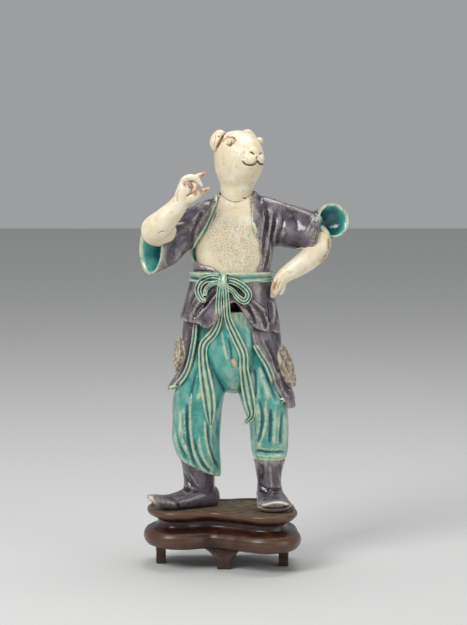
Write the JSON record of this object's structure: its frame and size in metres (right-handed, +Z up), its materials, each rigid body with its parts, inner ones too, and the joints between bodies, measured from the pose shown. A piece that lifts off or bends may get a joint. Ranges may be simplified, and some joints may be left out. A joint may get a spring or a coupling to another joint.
{
  "type": "porcelain figurine on a wooden stand",
  "caption": "Standing rabbit-headed figure of glazed porcelain in an open robe, one arm raised and one hand on the hip, on a lobed wooden stand.",
  "frame": {"origin": "under the middle of the whole object's bounding box, at the underside of the stand's feet", "axes": "+Z up; the figure's front and the stand's forward lobes face -Y; +X is towards the figure's left hand"},
  "size_m": [0.1298, 0.07, 0.2706],
  "materials": {
    "glazed_porcelain": "gloss glaze over biscuit, with the head, chest and hands left matt",
    "rosewood": "dark polished hardwood, matt on the sunk top"
  },
  "bodies": {
    "root": {"porcelain_figure": "glazed_porcelain", "wooden_stand": "rosewood"}
  },
  "joints": []
}
